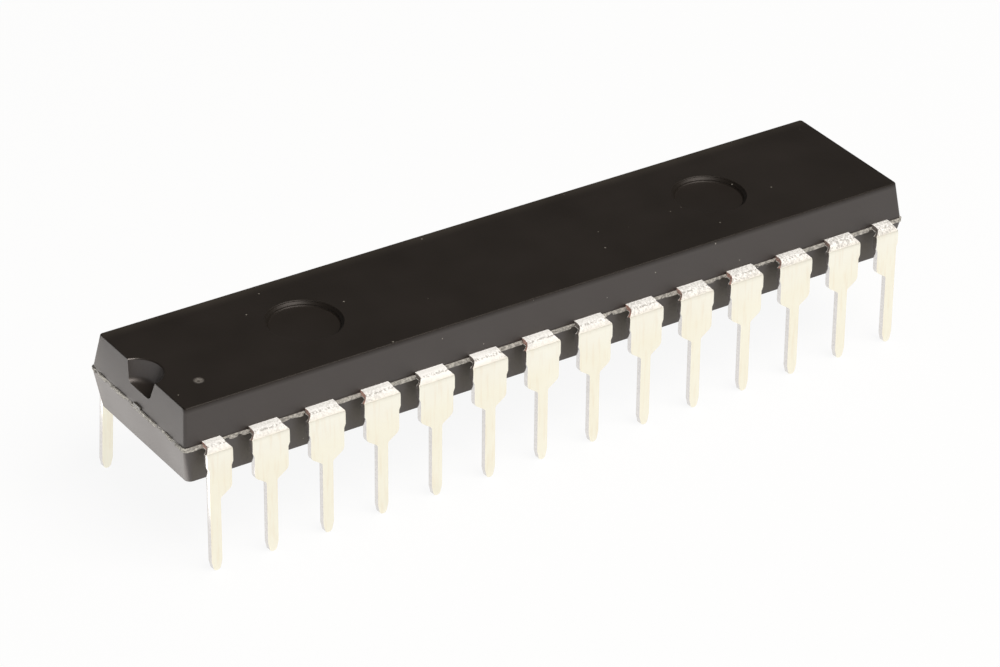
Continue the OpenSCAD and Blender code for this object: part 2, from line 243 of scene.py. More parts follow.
# %% [markdown]
# ## Black moulding compound
#
# The body is epoxy filled with silica powder, pressed into a steel mould that was spark eroded, which
# leaves a fine even grain. To the eye it is a very dark warm grey with a broad weak gloss. Here and there
# it has a pale speck: some are grains of dust, and some are painted highlights that stand for glinting
# grains of filler. The grain of 0.1 mm is too fine to show as shape, so it is a bump. The specks are a
# Voronoi pattern, from which only a few cells are kept. The lower mould half is polished a little finer, so
# it has more gloss. The long top edges are rubbed dull in the tube that chips are shipped in. A paler band
# along the back of the top is a painted reflection of the pale low sky that its rounded edge would mirror.
# The walls of the ejector marks are dull where the pins slid. The core that forms the notch burnishes its
# rim, and a paler ring round the dimple of lead 1 is a painted highlight on its rim.

# %% Colour of the moulding
dimple_at = (-15.725, -1.72, 6.96)
epoxy, tree = new_material("Silica filled epoxy, transfer moulded, matt spark eroded grain")
where = add(tree, "ShaderNodeTexCoord").outputs["Object"]
axes = add(tree, "ShaderNodeSeparateXYZ", inputs={0: where})
grain = add(tree, "ShaderNodeTexNoise", inputs={"Vector": where, "Scale": 1 / (0.10 * MM), "Detail": 3.0})
clouds = add(tree, "ShaderNodeTexNoise", inputs={"Vector": where, "Scale": 1 / (3.0 * MM), "Detail": 3.0})
# A cell is kept as a speck by its first random value, and sized by its second. Some specks are dust and
# some are painted highlights, standing for glinting grains of filler.
cells = add(tree, "ShaderNodeTexVoronoi", {"feature": "F1"}, {"Vector": where, "Scale": 1 / (0.6 * MM)})
pick = add(tree, "ShaderNodeSeparateColor", inputs={0: cells.outputs["Color"]})
kept = add(tree, "ShaderNodeMath", {"operation": "GREATER_THAN"}, {0: pick.outputs[0], 1: 0.62})
size = add(tree, "ShaderNodeMapRange", inputs={
    "Value": pick.outputs[1], "To Min": 0.03, "To Max": 0.075})
near = add(tree, "ShaderNodeMath", {"operation": "LESS_THAN"}, {0: cells.outputs["Distance"], 1: size})
dust_and_glint_speck = add(tree, "ShaderNodeMath", {"operation": "MULTIPLY"}, {0: near, 1: kept})
tone = add(tree, "ShaderNodeMix", {"data_type": "RGBA"}, {
    "Factor": clouds.outputs[0], 6: linear("#191510"), 7: linear("#1f1914")})
coloured = add(tree, "ShaderNodeMix", {"data_type": "RGBA"}, {
    "Factor": dust_and_glint_speck, 6: tone.outputs[2], 7: linear("#8f8a82")})
# Painted highlight: a paler rim round the dimple, where its rim would catch the light, broken up by the grain
from_dimple = add(tree, "ShaderNodeVectorMath", {"operation": "DISTANCE"}, {
    0: where, 1: [v * MM for v in dimple_at]})
ring = add(tree, "ShaderNodeMath", {"operation": "SUBTRACT"}, {0: from_dimple.outputs["Value"], 1: 0.12 * MM})
ring = add(tree, "ShaderNodeMath", {"operation": "ABSOLUTE"}, {0: ring})
dimple_rim_glint = add(tree, "ShaderNodeMapRange", inputs={
    "Value": ring, "From Min": 0.03 * MM, "From Max": 0.11 * MM, "To Min": 1.0, "To Max": 0.0})
dimple_rim_glint = add(tree, "ShaderNodeMath", {"operation": "MULTIPLY"}, {0: dimple_rim_glint, 1: grain.outputs[0]})
coloured = add(tree, "ShaderNodeMix", {"data_type": "RGBA"}, {
    "Factor": dimple_rim_glint, 6: coloured.outputs[2], 7: linear("#95908b")})
# Painted reflection: the back of the top is paler, as if its rounded edge mirrored the pale low sky
painted_back_sheen = add(tree, "ShaderNodeMapRange", {"interpolation_type": "SMOOTHSTEP"}, {
    "Value": axes.outputs["Y"], "From Min": 2.6 * MM, "From Max": 3.3 * MM, "To Min": 0.0, "To Max": 0.7})
painted_back_sheen = add(tree, "ShaderNodeMath", {"operation": "MULTIPLY"}, {0: painted_back_sheen, 1: clouds.outputs[0]})
coloured = add(tree, "ShaderNodeMix", {"data_type": "RGBA"}, {
    "Factor": painted_back_sheen, 6: coloured.outputs[2], 7: linear("#4a453d")})
print("Colour of the moulding:", len(tree.nodes), "nodes")

# %% Gloss of the moulding
notch_x, ejector_x = 17.515, 9.9
sheen = add(tree, "ShaderNodeMapRange", inputs={
    "Value": clouds.outputs[0], "From Min": 0.3, "From Max": 0.7, "To Min": 0.43, "To Max": 0.49})
bump = add(tree, "ShaderNodeBump", inputs={
    "Strength": 0.35, "Distance": 0.006 * MM, "Height": grain.outputs[0]})
turned = add(tree, "ShaderNodeSeparateXYZ", inputs={0: add(tree, "ShaderNodeNewGeometry").outputs["Normal"]})
# More gloss below the parting line than above it
gloss = add(tree, "ShaderNodeMapRange", inputs={
    "Value": axes.outputs["Z"], "From Min": 5.24 * MM, "From Max": 5.26 * MM, "To Min": 1.0, "To Max": 0.80})
# Less on the slopes along the long top edges and on the walls of the ejector marks
worn = add(tree, "ShaderNodeMapRange", inputs={
    "Value": axes.outputs["Z"], "From Min": 6.74 * MM, "From Max": 6.95 * MM, "To Min": 0.0, "To Max": 0.6})
aside = add(tree, "ShaderNodeMath", {"operation": "ABSOLUTE"}, {0: axes.outputs["Y"]})
aside = add(tree, "ShaderNodeMath", {"operation": "GREATER_THAN"}, {0: aside, 1: 3.1 * MM})
either_end = add(tree, "ShaderNodeMath", {"operation": "ABSOLUTE"}, {0: axes.outputs["X"]})
either_end = add(tree, "ShaderNodeCombineXYZ", inputs={"X": either_end, "Y": axes.outputs["Y"]})
in_mark = add(tree, "ShaderNodeVectorMath", {"operation": "DISTANCE"}, {
    0: either_end, 1: (ejector_x * MM, 0.0, 0.0)})
in_mark = add(tree, "ShaderNodeMath", {"operation": "LESS_THAN"}, {0: in_mark.outputs["Value"], 1: 1.75 * MM})
in_mark = add(tree, "ShaderNodeMath", {"operation": "MULTIPLY"}, {0: in_mark, 1: 0.5})
leaning = add(tree, "ShaderNodeMath", {"operation": "LESS_THAN"}, {0: turned.outputs["Z"], 1: 0.96})
worn = add(tree, "ShaderNodeMath", {"operation": "MULTIPLY_ADD"}, {0: worn, 1: aside, 2: in_mark})
worn = add(tree, "ShaderNodeMath", {"operation": "MULTIPLY"}, {0: worn, 1: leaning})
gloss = add(tree, "ShaderNodeMath", {"operation": "SUBTRACT"}, {0: gloss, 1: worn})
# Burnished rim of the notch: what leans, near the top face, round the notch. At the plain end this takes
# in only a stretch of the thin edge round.
in_notch = add(tree, "ShaderNodeVectorMath", {"operation": "DISTANCE"}, {
    0: either_end, 1: (notch_x * MM, 0.0, 0.0)})
in_notch = add(tree, "ShaderNodeMath", {"operation": "LESS_THAN"}, {0: in_notch.outputs["Value"], 1: 1.25 * MM})
rim = add(tree, "ShaderNodeMath", {"operation": "COMPARE"}, {0: turned.outputs["Z"], 1: 0.62, 2: 0.33})
upper = add(tree, "ShaderNodeMath", {"operation": "GREATER_THAN"}, {0: axes.outputs["Z"], 1: 6.8 * MM})
rim = add(tree, "ShaderNodeMath", {"operation": "MULTIPLY"}, {0: rim, 1: upper})
rim = add(tree, "ShaderNodeMath", {"operation": "MULTIPLY"}, {0: rim, 1: in_notch})
sheen = add(tree, "ShaderNodeMath", {"operation": "MULTIPLY_ADD"}, {0: rim, 1: -0.16, 2: sheen})
gloss = add(tree, "ShaderNodeMath", {"operation": "MULTIPLY_ADD"}, {0: rim, 1: 0.2, 2: gloss})
shader = add(tree, "ShaderNodeBsdfPrincipled", inputs={
    "Base Color": coloured.outputs[2], "Roughness": sheen, "IOR": 1.6,
    "Specular IOR Level": gloss, "Specular Tint": linear("#fff7f5"), "Normal": bump})
add(tree, "ShaderNodeOutputMaterial", inputs={"Surface": shader})
print("Material:", epoxy.name)

# %% [markdown]
# ## The moulding
#
# Two mould halves meet at the underside of the lead frame, so the body is widest there and its walls lean
# in. It is a loft: rounded rectangles at rising heights, joined ring by ring. The same values as in the
# source of the part set their sizes. The rings round the lower and upper edge follow a quarter circle.
# Along the sides a shallow groove above the flash gives the dark line that the photograph shows there.

# %% Sizes of the moulding
frame_bottom, frame_thickness, body_low, body_top = 5.25, 0.25, 3.65, 6.96
frame_top, flash_thickness = frame_bottom + frame_thickness, 0.12
end_x, side_y = 17.46, 3.60
lower_drafts = (math.tan(math.radians(8.9)), math.tan(math.radians(8.5)))
upper_drafts = (math.tan(math.radians(6.5)), math.tan(math.radians(11.2)))
edge_radius, lower_corner, parting_corner, groove_corner, upper_corner = 0.06, 0.26, 0.16, 0.15, 0.12
groove, groove_height, groove_depth = frame_bottom + flash_thickness, 0.08, 0.022
quarter_turn = [math.radians(15 * k) for k in range(7)]


def wall(z):
    """Half length and half width of the moulding at a height."""
    drop, drafts = (frame_bottom - z, lower_drafts) if z < frame_bottom else (z - frame_bottom, upper_drafts)
    return end_x - drop * drafts[0], side_y - drop * drafts[1]


def rounded_ring(half_x, half_y, radius, z, steps=6):
    """Points of a rounded rectangle, anticlockwise from the +X side."""
    points = []
    for turn, (sx, sy) in enumerate(((1, 1), (-1, 1), (-1, -1), (1, -1))):
        for k in range(steps + 1):
            angle = math.radians(90 * (turn + k / steps))
            points.append(Vector((sx * (half_x - radius) + radius * math.cos(angle),
                                  sy * (half_y - radius) + radius * math.sin(angle), z)))
    return points


# Each level: its height, how far it is set in, the height whose wall it is set in from, its corner radius
levels = [(body_low + edge_radius * (1 - math.cos(a)), edge_radius * (1 - math.sin(a)),
           body_low + edge_radius, lower_corner) for a in quarter_turn]
levels += [(frame_bottom, 0, frame_bottom, parting_corner)]
levels += [(groove + rise, inset, groove + rise, groove_corner) for rise, inset in (
    (0, 0), (0.02, groove_depth), (0.05, groove_depth), (groove_height, 0), (0.15, 0))]
levels += [(body_top - edge_radius * (1 - math.sin(a)), edge_radius * (1 - math.cos(a)),
            body_top - edge_radius, upper_corner) for a in quarter_turn]
print("Moulding:", len(levels), "rings, top", [round(2 * v, 2) for v in wall(body_top)], "mm")


# %% Loft of the moulding
def loft(rings):
    """Closed mesh through rings that have the same number of points."""
    shape = bmesh.new()
    rows = [[shape.verts.new(p) for p in ring] for ring in rings]
    count = len(rows[0])
    for low, high in zip(rows, rows[1:]):
        for i in range(count):
            shape.faces.new((low[i], low[(i + 1) % count], high[(i + 1) % count], high[i]))
    shape.faces.new(reversed(rows[0]))
    shape.faces.new(rows[-1])
    return shape


rings = []
for z, inset, wall_z, radius in levels:
    half_x, half_y = wall(wall_z)
    in_groove = groove < z < groove + groove_height
    rings.append(rounded_ring(half_x - (0 if in_groove else inset), half_y - inset, radius, z))
blank = to_mesh("moulding", loft(rings))
print("Loft:", len(blank.polygons), "faces")

# %% [markdown]
# ## Marks in the moulding
#
# The notch at the -X end tells which way round the chip goes, and the dimple beside it marks lead 1. The
# ejector pins that pushed the body out of the mould left two round recesses in the top and two below.
# Each mark is a turned shape, so one profile of radius and height spun about its axis makes the cutter.
# A small round at the rim and at the floor gives the thin glints that the photograph shows there. The
# dimple is a shallow dish.

# %% Cutters
def spun(profile, centre, flip=1, steps=96):
    """Rings of a cutter: the profile's radii and heights about a vertical axis."""
    return [[Vector((centre[0] + r * math.cos(2 * math.pi * k / steps),
                     centre[1] + r * math.sin(2 * math.pi * k / steps), centre[2] + flip * h))
             for k in range(steps)] for r, h in profile]


def recess(rim, depth, draft, floor_round, rim_round, past=0.3):
    """Profile of a round recess, from the middle of its floor up past the face at height 0."""
    lean = math.tan(math.radians(draft))
    floor = rim - depth * lean
    low = [(floor - floor_round * (1 - math.sin(a)), -depth + floor_round * (1 - math.cos(a)))
           for a in quarter_turn]
    high = [(rim + rim_round * (1 - math.cos(a)), -rim_round * (1 - math.sin(a))) for a in quarter_turn]
    return [(0.02, -depth), *low, *high, (rim + rim_round, past)]


top_x, notch_outset = wall(body_top)[0], 0.25
notch = recess(rim=1.05, depth=0.88, draft=11, floor_round=0.28, rim_round=0.09)
ejector_mark = recess(rim=1.55, depth=0.22, draft=20, floor_round=0.08, rim_round=0.05)
middle, dish_reach, dish_depth, dish_steps = 0.02, 0.27, 0.04, 12
dish = [(middle + dish_reach * k / dish_steps, -dish_depth / 2 * (1 + math.cos(math.pi * k / dish_steps)))
        for k in range(dish_steps + 1)]
marks = [("notch", (-top_x - notch_outset, 0, body_top), notch, 1),
         ("dimple", dimple_at, [*dish, (0.30, 0.3)], 1)]
for x in (-ejector_x, ejector_x):
    marks += [("ejector mark", (x, 0, body_top), ejector_mark, 1),
              ("ejector mark", (x, 0, body_low), ejector_mark, -1)]
cutters = bmesh.new()
for title, centre, profile, flip in marks:
    one = to_mesh("cutter", loft(spun(profile, centre, flip)))
    cutters.from_mesh(one)
    bpy.data.meshes.remove(one)
bmesh.ops.recalc_face_normals(cutters, faces=cutters.faces)
cutter_mesh = bpy.data.meshes.new("cutters")
cutters.to_mesh(cutter_mesh)
cutters.free()
print("Marks:", [title for title, *_ in marks])

# %% Cut the marks and finish the moulding
moulding = mesh_object("moulding_blank", blank)
cutter = mesh_object("cutter", cutter_mesh)
cut = moulding.modifiers.new("marks", "BOOLEAN")
cut.operation, cut.solver, cut.object = "DIFFERENCE", "EXACT", cutter
body_mesh = applied(moulding)
bpy.data.objects.remove(cutter)
smooth_by_angle(body_mesh, 32)
body = mesh_object("moulding", body_mesh)
body.data.materials.clear()
body.data.materials.append(epoxy)
even = body.modifiers.new("flat faces stay flat", "WEIGHTED_NORMAL")
even.keep_sharp, even.weight = True, 90
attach(body, "root")
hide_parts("body")
print("Moulding:", len(body_mesh.polygons), "faces")

# %% [markdown]
# ## Mould flash
#
# Epoxy creeps into the gap between the mould halves as far as the dam bars. When the bars are sheared
# away the thin web breaks, and its rough edge is paler than the moulded skin. It follows the parting line
# all round, so a Geometry Nodes tree sweeps it: a closed path, evenly resampled, gets a small rectangular
# section, and noise pushes each point out or in. A second, coarser noise breaks chips out of it.

# %% Material of the broken flash
broken, tree = new_material("Epoxy flash, sheared, dusty broken edge")
where = add(tree, "ShaderNodeTexCoord").outputs["Object"]
crumbs = add(tree, "ShaderNodeTexNoise", inputs={
    "Vector": where, "Scale": 1 / (0.12 * MM), "Detail": 4.0, "Roughness": 0.65})
pale = add(tree, "ShaderNodeMapRange", inputs={
    "Value": crumbs.outputs[0], "From Min": 0.42, "From Max": 0.62})
coloured = add(tree, "ShaderNodeMix", {"data_type": "RGBA"}, {
    "Factor": pale, 6: linear("#8b8884"), 7: linear("#c6c3bd")})
bump = add(tree, "ShaderNodeBump", inputs={"Strength": 0.4, "Distance": 0.02 * MM, "Height": crumbs.outputs[0]})
shader = add(tree, "ShaderNodeBsdfPrincipled", inputs={
    "Base Color": coloured.outputs[2], "Roughness": 0.8, "IOR": 1.55, "Normal": bump})
add(tree, "ShaderNodeOutputMaterial", inputs={"Surface": shader})
print("Material:", broken.name)

# %% Tree that sweeps the flash along the parting line
tree = flash_tree = new_tree(
    "sweep the flash", "Path", ("Step", "Thickness", "Reach", "Roughness", "Chip length", "Chip depth"), "Flash")
given = add(tree, "NodeGroupInput")
path = add(tree, "GeometryNodeMeshToCurve", inputs={0: given.outputs["Path"]})
path = add(tree, "GeometryNodeResampleCurve", {"mode": "LENGTH"}, {
    "Curve": path, "Length": given.outputs["Step"]})
path = add(tree, "GeometryNodeSetCurveNormal", {"mode": "Z_UP"}, {"Curve": path})
tangent = add(tree, "GeometryNodeInputTangent")
outward = add(tree, "ShaderNodeVectorMath", {"operation": "CROSS_PRODUCT"}, {0: tangent, 1: (0.0, 0.0, 1.0)})
held = add(tree, "GeometryNodeCaptureAttribute", {"domain": "POINT"}, {"Geometry": path})
held.capture_items.new("VECTOR", "Outward")
tree.links.new(outward.outputs[0], held.inputs["Outward"])
deep = add(tree, "ShaderNodeMath", {"operation": "MULTIPLY"}, {0: given.outputs["Reach"], 1: 2.0})
section = add(tree, "GeometryNodeCurvePrimitiveQuadrilateral", inputs={
    "Width": deep, "Height": given.outputs["Thickness"]})
section = add(tree, "GeometryNodeResampleCurve", {"mode": "COUNT"}, {"Curve": section, "Count": 16})
swept = add(tree, "GeometryNodeCurveToMesh", inputs={
    "Curve": held.outputs["Geometry"], "Profile Curve": section})
spot = add(tree, "GeometryNodeInputPosition")
fine = add(tree, "ShaderNodeTexNoise", inputs={"Vector": spot, "Scale": 1 / (0.16 * MM), "Detail": 3.0})
fine = add(tree, "ShaderNodeMath", {"operation": "SUBTRACT"}, {0: fine.outputs[0], 1: 0.5})
fine = add(tree, "ShaderNodeMath", {"operation": "MULTIPLY"}, {0: fine, 1: given.outputs["Roughness"]})
wave = add(tree, "ShaderNodeMath", {"operation": "DIVIDE"}, {0: 1.0, 1: given.outputs["Chip length"]})
chips = add(tree, "ShaderNodeTexNoise", inputs={"Vector": spot, "Scale": wave, "Detail": 2.0})
chips = add(tree, "ShaderNodeMapRange", inputs={
    "Value": chips.outputs[0], "From Min": 0.53, "From Max": 0.57})
chips = add(tree, "ShaderNodeMath", {"operation": "MULTIPLY"}, {0: chips, 1: given.outputs["Chip depth"]})
push = add(tree, "ShaderNodeMath", {"operation": "SUBTRACT"}, {0: fine, 1: chips})
offset = add(tree, "ShaderNodeVectorMath", {"operation": "SCALE"}, {0: held.outputs["Outward"], "Scale": push})
moved = add(tree, "GeometryNodeSetPosition", inputs={"Geometry": swept, "Offset": offset.outputs[0]})
real = add(tree, "GeometryNodeRealizeInstances", inputs={0: moved})
coated = add(tree, "GeometryNodeSetMaterial", inputs={"Geometry": real, "Material": broken})
add(tree, "NodeGroupOutput", inputs={0: coated})
print("Tree:", flash_tree.name, len(tree.nodes), "nodes")

# %% Make the flash
shape = bmesh.new()
flash_middle = frame_bottom + flash_thickness / 2
loop = [shape.verts.new(p) for p in rounded_ring(end_x, side_y, parting_corner, flash_middle)]
for a, b in zip(loop, loop[1:] + loop[:1]):
    shape.edges.new((a, b))
flash_mesh = run_tree(to_mesh("parting line", shape), flash_tree, {
    "Step": 0.06 * MM, "Thickness": 1.25 * flash_thickness * MM, "Reach": 0.04 * MM, "Roughness": 0.05 * MM,
    "Chip length": 0.8 * MM, "Chip depth": 0.045 * MM})
shape = bmesh.new()
shape.from_mesh(flash_mesh)
bmesh.ops.recalc_face_normals(shape, faces=shape.faces)
shape.to_mesh(flash_mesh)
shape.free()
smooth_by_angle(flash_mesh, 40)
flash = mesh_object("mould_flash", flash_mesh)
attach(flash, "root")
box = [[round(f(v.co[i] for v in flash_mesh.vertices) / MM, 3) for i in range(3)] for f in (min, max)]
print("Flash:", len(flash_mesh.polygons), "faces, box", box)

# %% [markdown]
# ## Tin plated leads
#
# A lead is punched from copper alloy strip 0.25 mm thick, trimmed, bent down and plated with matt tin. The
# tin is a cream white metal with a fine crystalline grain. Where the strip is bent the grains open up and
# scatter light like frost, so that part is rougher and less like a mirror, and its top is whiter, a painted
# highlight. The grains open more on some leads than on others, and more towards the +X end. The punched
# sides are burnished by the die, so they mirror what is beside them more sharply. The dam bars are sheared
# after plating, so reddish copper shows on the cuts beside the bend. On some leads the cuts are dark grey
# instead, a painted shade. Where the punch came through, each cut has a near-white sliver: a burnished
# sliver of the strip, made brighter by a painted reflection. The faces of those cuts carry an attribute
# named sheared, and each point one named depth, from 0 at the outer face of the strip to 1 at the inner.
# The blank sets both.

# %% Patterns on the leads
tin, tree = new_material("Copper alloy strip, matt tin plated, satin cream white")
where = add(tree, "ShaderNodeTexCoord").outputs["Object"]
facing = add(tree, "ShaderNodeNewGeometry").outputs["True Normal"]
axes = add(tree, "ShaderNodeSeparateXYZ", inputs={0: where})
turned = add(tree, "ShaderNodeSeparateXYZ", inputs={0: facing})
crystals = add(tree, "ShaderNodeTexNoise", inputs={
    "Vector": where, "Scale": 1 / (0.09 * MM), "Detail": 3.0, "Roughness": 0.6})
stains = add(tree, "ShaderNodeTexNoise", inputs={"Vector": where, "Scale": 1 / (1.6 * MM), "Detail": 2.0})
patches = add(tree, "ShaderNodeTexNoise", inputs={"Vector": where, "Scale": 1 / (2.2 * MM), "Detail": 1.0})
bent = add(tree, "ShaderNodeMapRange", {"interpolation_type": "SMOOTHSTEP"}, {
    "Value": axes.outputs["Z"], "From Min": 5.20 * MM, "From Max": 5.28 * MM})


def band(height, half_width, strength):
    """A soft line round the lead at one height."""
    away = add(tree, "ShaderNodeMath", {"operation": "SUBTRACT"}, {0: axes.outputs["Z"], 1: height * MM})
    away = add(tree, "ShaderNodeMath", {"operation": "ABSOLUTE"}, {0: away})
    return add(tree, "ShaderNodeMapRange", inputs={
        "Value": away, "From Min": 0.0, "From Max": half_width * MM, "To Min": strength, "To Max": 0.0})


# Grains that the bend has opened, with a line of them at its top and a crease at its foot
spread = add(tree, "ShaderNodeMapRange", inputs={
    "Value": axes.outputs["X"], "From Min": -4 * MM, "From Max": 16 * MM, "To Min": -0.3, "To Max": 0.2})
spread = add(tree, "ShaderNodeMath", {"operation": "ADD", "use_clamp": True}, {
    0: spread, 1: patches.outputs[0]})
opened = add(tree, "ShaderNodeMath", {"operation": "MULTIPLY"}, {0: spread, 1: bent})
opened = add(tree, "ShaderNodeMath", {"operation": "MAXIMUM"}, {0: opened, 1: band(5.44, 0.05, 1.0)})
pits = add(tree, "ShaderNodeMapRange", inputs={
    "Value": crystals.outputs[0], "From Min": 0.42, "From Max": 0.58, "To Min": 1.0, "To Max": 0.0})
pits = add(tree, "ShaderNodeMath", {"operation": "MULTIPLY"}, {0: pits, 1: opened})
pits = add(tree, "ShaderNodeMath", {"operation": "MAXIMUM"}, {0: pits, 1: band(5.22, 0.03, 0.30)})
print("Patterns:", len(tree.nodes), "nodes")

# %% Colour of the plating
# A warmer cream on the legs than on the shoulders, with faint stains and rolling streaks
high = add(tree, "ShaderNodeMapRange", inputs={
    "Value": axes.outputs["Z"], "From Min": 3.9 * MM, "From Max": 4.8 * MM})
plated = add(tree, "ShaderNodeMix", {"data_type": "RGBA"}, {
    "Factor": high, 6: linear("#fffced"), 7: linear("#fffdf2")})
plated = add(tree, "ShaderNodeMix", {"data_type": "RGBA", "blend_type": "MULTIPLY"}, {
    "Factor": stains, 6: plated.outputs[2], 7: linear("#faf7f2")})
along = add(tree, "ShaderNodeVectorMath", {"operation": "MULTIPLY"}, {0: where, 1: (9.0, 1.0, 1.0)})
streaks = add(tree, "ShaderNodeTexNoise", inputs={
    "Vector": along.outputs[0], "Scale": 1 / (1.4 * MM), "Detail": 3.0})
streaks = add(tree, "ShaderNodeMapRange", inputs={
    "Value": streaks.outputs[0], "From Min": 0.5, "From Max": 0.7})
plated = add(tree, "ShaderNodeMix", {"data_type": "RGBA", "blend_type": "MULTIPLY"}, {
    "Factor": streaks, 6: plated.outputs[2], 7: linear("#fcf9f6")})
# Frost on the bend, whitest at its top as a painted highlight where it faces up to the lamp, then the pits
# between the grains
bend_top_highlight = add(tree, "ShaderNodeMapRange", inputs={
    "Value": axes.outputs["Z"], "From Min": 5.26 * MM, "From Max": 5.47 * MM})
frost_and_highlight = add(tree, "ShaderNodeMix", {"data_type": "RGBA"}, {
    "Factor": bend_top_highlight, 6: linear("#eeebe6"), 7: linear("#ffffff")})
plated = add(tree, "ShaderNodeMix", {"data_type": "RGBA"}, {
    "Factor": bent, 6: plated.outputs[2], 7: frost_and_highlight.outputs[2]})
plated = add(tree, "ShaderNodeMix", {"data_type": "RGBA"}, {
    "Factor": pits, 6: plated.outputs[2], 7: linear("#a6a39f")})
# The punched sides are greyer than the faces
side = add(tree, "ShaderNodeMath", {"operation": "ABSOLUTE"}, {0: turned.outputs["X"]})
punched = add(tree, "ShaderNodeMath", {"operation": "GREATER_THAN"}, {0: side, 1: 0.85})
torn = add(tree, "ShaderNodeMix", {"data_type": "RGBA"}, {
    "Factor": crystals.outputs[0], 6: linear("#c9c5c2"), 7: linear("#f6f3f0")})
plated = add(tree, "ShaderNodeMix", {"data_type": "RGBA"}, {
    "Factor": punched, 6: plated.outputs[2], 7: torn.outputs[2]})
print("Colour of the plating:", len(tree.nodes), "nodes")

# %% Colour of the sheared cuts
# Copper on the cuts, and on some leads dark grey instead, a painted shade
unshaded_copper = add(tree, "ShaderNodeMapRange", inputs={
    "Value": patches.outputs[0], "From Min": 0.48, "From Max": 0.58})
copper = add(tree, "ShaderNodeMix", {"data_type": "RGBA"}, {
    "Factor": crystals.outputs[0], 6: linear("#c08c7e"), 7: linear("#f3cabe")})
cut_colour_with_painted_light = add(tree, "ShaderNodeMix", {"data_type": "RGBA"}, {
    "Factor": unshaded_copper, 6: linear("#8c837e"), 7: copper.outputs[2]})
depth = add(tree, "ShaderNodeAttribute", {"attribute_name": "depth"})
# A burnished sliver near the inner face, below the bend, painted near white as a painted reflection
sliver_with_painted_glint = add(tree, "ShaderNodeMath", {"operation": "GREATER_THAN"}, {0: depth.outputs["Fac"], 1: 0.62})
below = add(tree, "ShaderNodeMath", {"operation": "LESS_THAN"}, {0: axes.outputs["Z"], 1: 5.30 * MM})
sliver_with_painted_glint = add(tree, "ShaderNodeMath", {"operation": "MULTIPLY"}, {0: sliver_with_painted_glint, 1: below})
cut_colour_with_painted_light = add(tree, "ShaderNodeMix", {"data_type": "RGBA"}, {
    "Factor": sliver_with_painted_glint, 6: cut_colour_with_painted_light.outputs[2], 7: linear("#fbf8f4")})
sheared = add(tree, "ShaderNodeAttribute", {"attribute_name": "sheared"})
coloured = add(tree, "ShaderNodeMix", {"data_type": "RGBA"}, {
    "Factor": sheared.outputs["Fac"], 6: plated.outputs[2], 7: cut_colour_with_painted_light.outputs[2]})
print("Colour of the cuts:", len(tree.nodes), "nodes")

# %% Surface of the leads
# Satin metal on the flat parts, rough frost on the bend, and no metal shine on the sheared cuts
relief = add(tree, "ShaderNodeMapRange", inputs={
    "Value": bent, "To Min": 0.10, "To Max": 0.65})
bump = add(tree, "ShaderNodeBump", inputs={
    "Strength": relief.outputs[0], "Distance": 0.02 * MM, "Height": crystals.outputs[0]})
metal = add(tree, "ShaderNodeMapRange", inputs={
    "Value": bent, "To Min": 1.0, "To Max": 0.08})
rough = add(tree, "ShaderNodeMapRange", inputs={
    "Value": bent, "To Min": 0.5, "To Max": 0.75})
plated_share = add(tree, "ShaderNodeMath", {"operation": "SUBTRACT"}, {0: 1.0, 1: sheared.outputs["Fac"]})
metal = add(tree, "ShaderNodeMath", {"operation": "MULTIPLY"}, {0: metal, 1: plated_share})
burnished = add(tree, "ShaderNodeMath", {"operation": "MULTIPLY"}, {0: punched, 1: 0.32})
rough = add(tree, "ShaderNodeMath", {"operation": "SUBTRACT"}, {0: rough, 1: burnished})
shader = add(tree, "ShaderNodeBsdfPrincipled", inputs={
    "Base Color": coloured.outputs[2], "Metallic": metal, "Roughness": rough, "Normal": bump})
add(tree, "ShaderNodeOutputMaterial", inputs={"Surface": shader})
print("Material:", tin.name)

# %% [markdown]
# ## Forming a lead
#
# In the factory a lead is cut flat and then pressed over an anvil, and this cell does the same. The flat
# blank has the outline of root, dam bar stubs, shoulder, leg and tip. A Geometry Nodes tree wraps it round
# the anvil: the distance of a point past the start of the bend gives its angle, as far as the stated lean
# of the leg, and what is left runs on straight. Its named inputs are the sizes a toolmaker would quote.
# The corners of the tapered tip are rounded, and all edges are rolled a little, as punching leaves them.

# %% Sizes of the flat blank
lead_pitch, bend_radius, lean = 2.54, 0.20, math.radians(2.4)
bend_start, strip_middle = side_y + 0.133, frame_bottom + frame_thickness / 2
bend_axis_z = frame_top - bend_radius - frame_thickness
arc = (bend_radius + frame_thickness / 2) * (math.pi / 2 - lean)
leg_length = (bend_axis_z + bend_radius * math.sin(lean)) / math.cos(lean)
root_half, dam_half, shoulder_half, leg_half, tip_half = 0.64, 0.835, 0.765, 0.245, 0.14
end_root_half, end_dam_half = 0.17, 0.315
dam_height, shoulder_start, shoulder_height, leg_height, tip_height = 0.41, 0.58, 3.52, 3.17, 0.43
shoulder_radius, neck_radius, tip_radius, edge_roll = 0.3, 0.15, 0.17, 0.016
dam_full, dam_narrow = math.radians(90 - 2.4 - 22), math.radians(90 - 2.4 - 60)
slope_end = bend_start + (bend_radius + frame_thickness / 2) * dam_full
root_inner = 3.40
print("Blank: arc", round(arc, 3), "mm, leg", round(leg_length, 3), "mm")


# %% Outline of the flat blank
def rounded_corner(before, corner, after, radius, steps=5):
    """Points of the arc that rounds a corner of an outline."""
    into, out = (corner - before).normalized(), (after - corner).normalized()
    turn = math.acos(max(-1, min(1, into.dot(out))))
    side_way = Vector((-into.y, into.x)) * (1 if into.x * out.y - into.y * out.x > 0 else -1)
    start = corner - into * radius * math.tan(turn / 2)
    centre = start + side_way * radius
    return [centre - side_way * radius * math.cos(angle) + into * radius * math.sin(angle)
            for angle in (turn * k / steps for k in range(steps + 1))]


